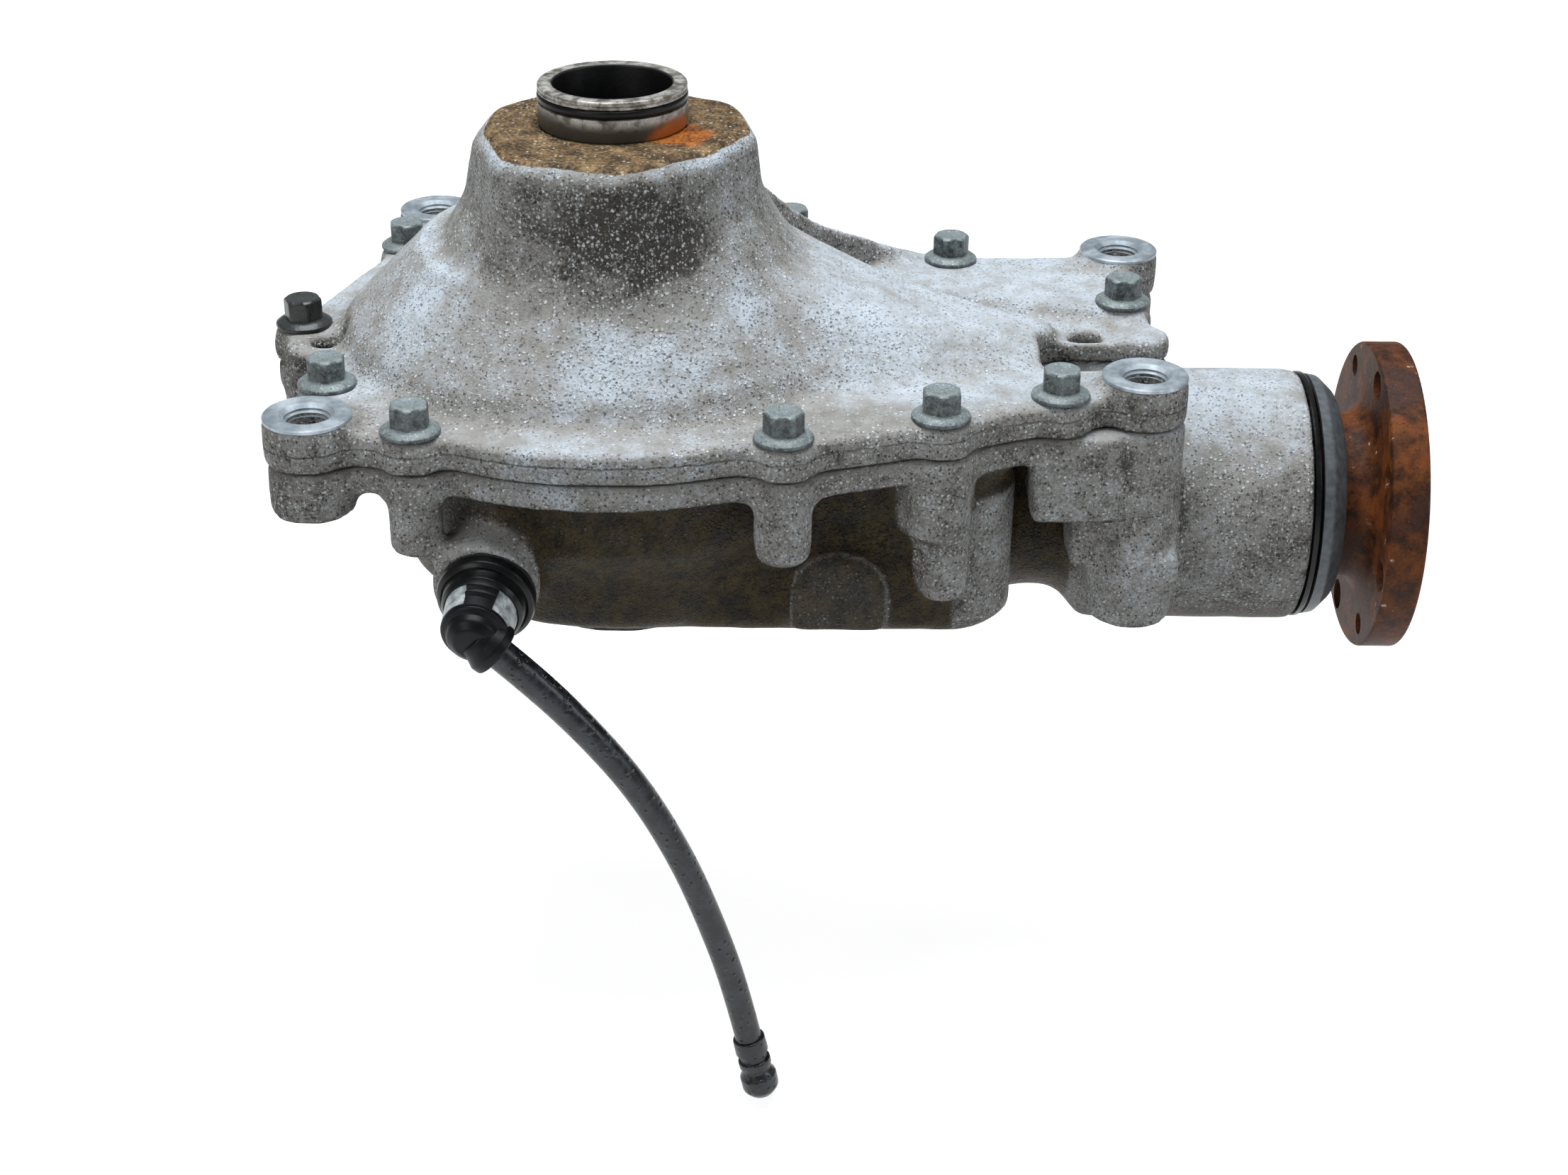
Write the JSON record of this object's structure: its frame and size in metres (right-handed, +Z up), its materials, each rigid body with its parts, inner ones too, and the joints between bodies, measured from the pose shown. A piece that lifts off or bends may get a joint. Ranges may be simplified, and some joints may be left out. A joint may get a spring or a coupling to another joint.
{
  "type": "front differential",
  "caption": "Front axle differential: split cast casing with a sump spigot, bevel ring and pinion, open differential, input flange and breather hose.",
  "frame": {"origin": "centre of the spigot's seat, the flat top of the cover's neck, on the output axis", "axes": "+Z up along the output axis and out of the spigot, +X towards the input flange, +Y away from the breather hose"},
  "size_m": [0.429, 0.2751, 0.3532],
  "materials": {
    "cast_aluminium": "as cast, oxidised, speckled with salt",
    "turned_steel": "turned, light rust",
    "zinc_steel": "zinc plated, dulled",
    "gear_steel": "ground and oiled",
    "bearing_steel": "polished",
    "rusted_steel": "forged, covered in light rust",
    "shield_steel": "dark grey, satin",
    "black_rubber": "wet, semi-gloss",
    "black_plastic": "moulded, matte"
  },
  "bodies": {
    "housing": {"upper_cover": "cast_aluminium", "lower_housing": "cast_aluminium", "cover_bolts": "zinc_steel", "dowels": "turned_steel", "spigot_tube": "turned_steel", "spigot_o_ring": "black_rubber", "upper_output_seal": "black_rubber", "lower_output_seal": "black_rubber", "upper_bearing_cup": "bearing_steel", "lower_bearing_cup": "bearing_steel", "head_bearing_cup": "bearing_steel", "rear_bearing_cup": "bearing_steel", "pinion_seal": "black_rubber", "shield_ring": "black_rubber", "vent_retainer": "black_plastic", "vent_sleeve": "turned_steel", "vent_connector": "black_plastic", "breather_hose": "black_rubber", "hose_end": "black_rubber"},
    "carrier": {"carrier_case": "gear_steel", "ring_gear": "gear_steel", "ring_gear_bolts": "zinc_steel", "cross_pin": "gear_steel", "cross_pin_lock": "turned_steel", "side_gear_washers": "turned_steel", "spider_washers": "turned_steel", "upper_bearing_rollers": "bearing_steel", "upper_bearing_cone": "bearing_steel", "lower_bearing_rollers": "bearing_steel", "lower_bearing_cone": "bearing_steel"},
    "pinion": {"pinion_shaft": "gear_steel", "crush_sleeve": "turned_steel", "input_flange": "rusted_steel", "pinion_nut": "zinc_steel", "dust_shield": "shield_steel", "head_bearing_rollers": "bearing_steel", "head_bearing_cone": "bearing_steel", "rear_bearing_rollers": "bearing_steel", "rear_bearing_cone": "bearing_steel"},
    "upper_output": {"side_gear_upper": "gear_steel"},
    "lower_output": {"side_gear_lower": "gear_steel"},
    "rear_spider": {"spider_gear_rear": "gear_steel"},
    "front_spider": {"spider_gear_front": "gear_steel"}
  },
  "joints": [
    {"name": "carrier_spin", "type": "hinge", "parent": "housing", "child": "carrier", "pos_m": [0, 0, -0.1405], "axis": [0, 0, 1], "continuous": true},
    {"name": "pinion_spin", "type": "hinge", "parent": "housing", "child": "pinion", "pos_m": [0.2, 0, -0.1465], "axis": [1, 0, 0], "continuous": true},
    {"name": "upper_output_spin", "type": "hinge", "parent": "carrier", "child": "upper_output", "pos_m": [0, 0, -0.1405], "axis": [0, 0, 1], "continuous": true},
    {"name": "lower_output_spin", "type": "hinge", "parent": "carrier", "child": "lower_output", "pos_m": [0, 0, -0.1405], "axis": [0, 0, 1], "continuous": true},
    {"name": "rear_spider_spin", "type": "hinge", "parent": "carrier", "child": "rear_spider", "pos_m": [0, 0, -0.1405], "axis": [0, 1, 0], "continuous": true},
    {"name": "front_spider_spin", "type": "hinge", "parent": "carrier", "child": "front_spider", "pos_m": [0, 0, -0.1405], "axis": [0, 1, 0], "continuous": true}
  ],
  "couplings": [
    {"joint": "pinion_spin", "follows": "carrier_spin", "ratio": -3.3636},
    {"joint": "lower_output_spin", "follows": "upper_output_spin", "ratio": -1},
    {"joint": "rear_spider_spin", "follows": "upper_output_spin", "ratio": -1.6},
    {"joint": "front_spider_spin", "follows": "upper_output_spin", "ratio": 1.6}
  ]
}
